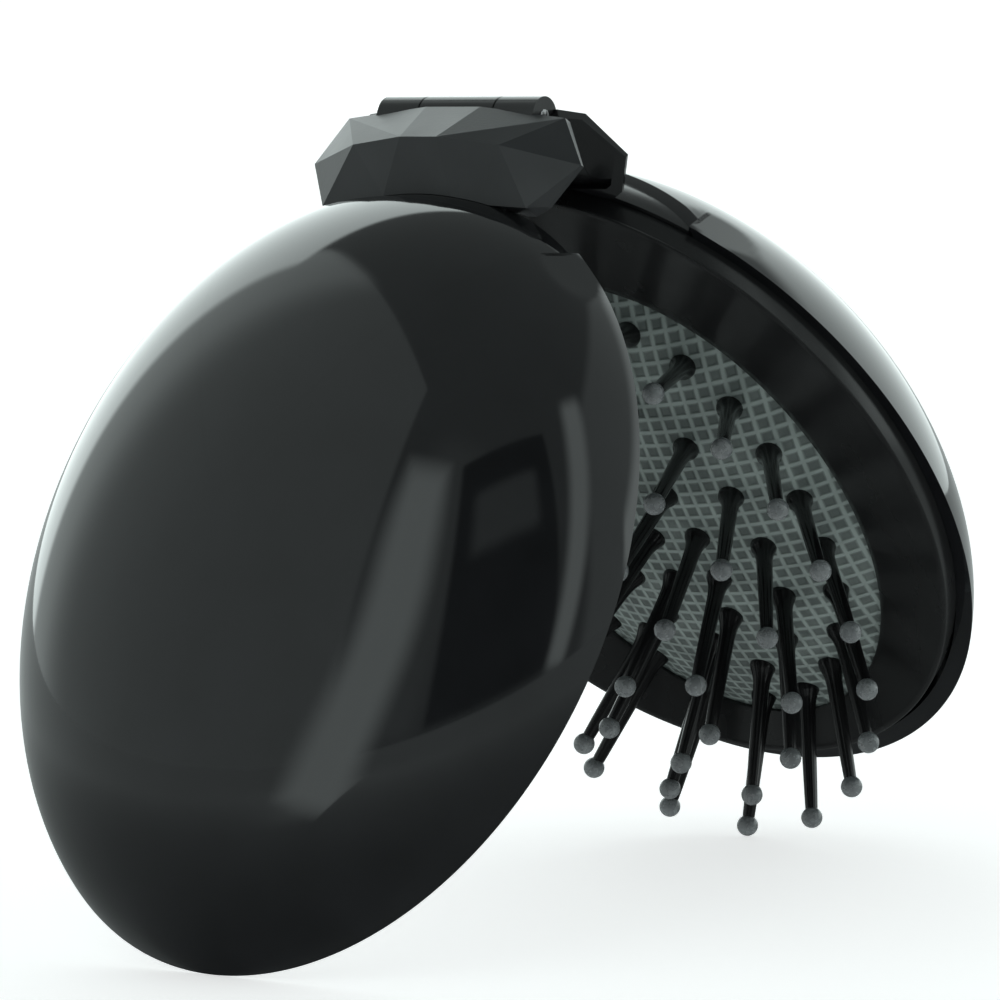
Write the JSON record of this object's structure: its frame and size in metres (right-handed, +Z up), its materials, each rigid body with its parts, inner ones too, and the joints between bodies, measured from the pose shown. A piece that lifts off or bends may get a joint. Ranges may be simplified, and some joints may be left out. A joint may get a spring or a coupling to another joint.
{
  "type": "folding travel hairbrush",
  "caption": "Folding travel hairbrush: two glossy half-egg shells on a pin hinge, ball-tipped pins on a sprung cushion in one half and a mirror in the other.",
  "frame": {"origin": "on the floor under the middle of the bounding box, as the open brush stands", "axes": "+Z up; X along the hinge pin; the cushioned half hangs towards +Y and the mirror half towards -Y"},
  "size_m": [0.062, 0.096, 0.0718],
  "materials": {
    "shell": "polished",
    "collar": "semi-gloss",
    "hinge_cap": "satin",
    "steel": "drawn",
    "liner": "polished",
    "cushion": "fine raised grid",
    "retainer": "as moulded",
    "pins": "smooth",
    "ball_tips": "smooth, slightly translucent",
    "pad": "foam tape",
    "mirror": "silvered glass"
  },
  "bodies": {
    "base": {"base_shell": "shell", "base_frame": "liner", "base_hinge_bracket": "collar", "base_hinge_block": "hinge_cap", "cushion": "cushion", "cushion_retainer": "retainer"},
    "hinge_pin": {"hinge_pin": "steel"},
    "lid": {"lid_shell": "shell", "lid_frame": "liner", "lid_hinge_bracket": "collar", "lid_hinge_block": "hinge_cap", "mirror_glass": "mirror", "mirror_pad": "pad"},
    "pins_outer_tip": {"pins_outer_tip": "pins", "balls_outer_tip": "ball_tips"},
    "pins_outer_tip_right": {"pins_outer_tip_right": "pins", "balls_outer_tip_right": "ball_tips"},
    "pins_outer_right": {"pins_outer_right": "pins", "balls_outer_right": "ball_tips"},
    "pins_outer_hinge_right": {"pins_outer_hinge_right": "pins", "balls_outer_hinge_right": "ball_tips"},
    "pins_outer_hinge": {"pins_outer_hinge": "pins", "balls_outer_hinge": "ball_tips"},
    "pins_outer_hinge_left": {"pins_outer_hinge_left": "pins", "balls_outer_hinge_left": "ball_tips"},
    "pins_outer_left": {"pins_outer_left": "pins", "balls_outer_left": "ball_tips"},
    "pins_outer_tip_left": {"pins_outer_tip_left": "pins", "balls_outer_tip_left": "ball_tips"},
    "pins_inner_tip": {"pins_inner_tip": "pins", "balls_inner_tip": "ball_tips"},
    "pins_inner_right": {"pins_inner_right": "pins", "balls_inner_right": "ball_tips"},
    "pins_inner_hinge": {"pins_inner_hinge": "pins", "balls_inner_hinge": "ball_tips"},
    "pins_inner_left": {"pins_inner_left": "pins", "balls_inner_left": "ball_tips"},
    "pins_centre": {"pins_centre": "pins", "balls_centre": "ball_tips"}
  },
  "joints": [
    {"name": "lid_close", "type": "hinge", "parent": "hinge_pin", "child": "lid", "pos_m": [0, -0.00387, 0.0701], "axis": [1, 0, 0], "range_deg": [0, 65.2], "deforming": ["cushion"]},
    {"name": "base_open", "type": "hinge", "parent": "hinge_pin", "child": "base", "pos_m": [0, -0.00387, 0.0701], "axis": [-1, 0, 0], "range_deg": [-114.8, 0]},
    {"name": "outer_tip_fold", "type": "hinge", "parent": "base", "child": "pins_outer_tip", "pos_m": [0.00003, 0.04792, 0.00812], "axis": [-1, 0.0006, -0.0009], "range_deg": [0, 33]},
    {"name": "outer_tip_right_fold", "type": "hinge", "parent": "base", "child": "pins_outer_tip_right", "pos_m": [0.02064, 0.03978, 0.01852], "axis": [-0.5813, 0.4861, -0.6526], "range_deg": [0, 33]},
    {"name": "outer_right_fold", "type": "hinge", "parent": "base", "child": "pins_outer_right", "pos_m": [0.02712, 0.02745, 0.03334], "axis": [-0.0107, 0.5973, -0.8019], "range_deg": [0, 33]},
    {"name": "outer_hinge_right_fold", "type": "hinge", "parent": "base", "child": "pins_outer_hinge_right", "pos_m": [0.02183, 0.01547, 0.04949], "axis": [0.567, 0.4921, -0.6606], "range_deg": [0, 33]},
    {"name": "outer_hinge_fold", "type": "hinge", "parent": "base", "child": "pins_outer_hinge", "pos_m": [-0.00006, 0.00736, 0.06075], "axis": [1, -0.0014, 0.0018], "range_deg": [0, 33]},
    {"name": "outer_hinge_left_fold", "type": "hinge", "parent": "base", "child": "pins_outer_hinge_left", "pos_m": [-0.02188, 0.01552, 0.04942], "axis": [0.5644, -0.4931, 0.6621], "range_deg": [0, 33]},
    {"name": "outer_left_fold", "type": "hinge", "parent": "base", "child": "pins_outer_left", "pos_m": [-0.02712, 0.02751, 0.03325], "axis": [-0.0137, -0.5973, 0.8019], "range_deg": [0, 33]},
    {"name": "outer_tip_left_fold", "type": "hinge", "parent": "base", "child": "pins_outer_tip_left", "pos_m": [-0.02059, 0.03983, 0.01845], "axis": [-0.5838, -0.485, 0.6511], "range_deg": [0, 33]},
    {"name": "inner_tip_fold", "type": "hinge", "parent": "base", "child": "pins_inner_tip", "pos_m": [0.00004, 0.05322, -0.00254], "axis": [-1, 0.0006, -0.0008], "range_deg": [0, 16]},
    {"name": "inner_right_fold", "type": "hinge", "parent": "base", "child": "pins_inner_right", "pos_m": [0.03557, 0.03464, 0.02161], "axis": [-0.3459, 0.5605, -0.7525], "range_deg": [0, 16]},
    {"name": "inner_hinge_fold", "type": "hinge", "parent": "base", "child": "pins_inner_hinge", "pos_m": [-0.00018, 0.0029, 0.0641], "axis": [1, -0.0029, 0.0039], "range_deg": [0, 16]},
    {"name": "inner_left_fold", "type": "hinge", "parent": "base", "child": "pins_inner_left", "pos_m": [-0.03547, 0.03485, 0.02133], "axis": [-0.3544, -0.5586, 0.7499], "range_deg": [0, 16]},
    {"name": "centre_sink", "type": "slide", "parent": "base", "child": "pins_centre", "axis": [0, 0.802, 0.5973], "range_m": [0, 0.0099]}
  ],
  "couplings": [
    {"joint": "outer_tip_fold", "follows": "lid_close", "ratio": 0.50613},
    {"joint": "outer_tip_right_fold", "follows": "lid_close", "ratio": 0.50613},
    {"joint": "outer_right_fold", "follows": "lid_close", "ratio": 0.50613},
    {"joint": "outer_hinge_right_fold", "follows": "lid_close", "ratio": 0.50613},
    {"joint": "outer_hinge_fold", "follows": "lid_close", "ratio": 0.50613},
    {"joint": "outer_hinge_left_fold", "follows": "lid_close", "ratio": 0.50613},
    {"joint": "outer_left_fold", "follows": "lid_close", "ratio": 0.50613},
    {"joint": "outer_tip_left_fold", "follows": "lid_close", "ratio": 0.50613},
    {"joint": "inner_tip_fold", "follows": "lid_close", "ratio": 0.2454},
    {"joint": "inner_right_fold", "follows": "lid_close", "ratio": 0.2454},
    {"joint": "inner_hinge_fold", "follows": "lid_close", "ratio": 0.2454},
    {"joint": "inner_left_fold", "follows": "lid_close", "ratio": 0.2454},
    {"joint": "centre_sink", "follows": "lid_close", "m_per_rad": 0.0086998}
  ]
}
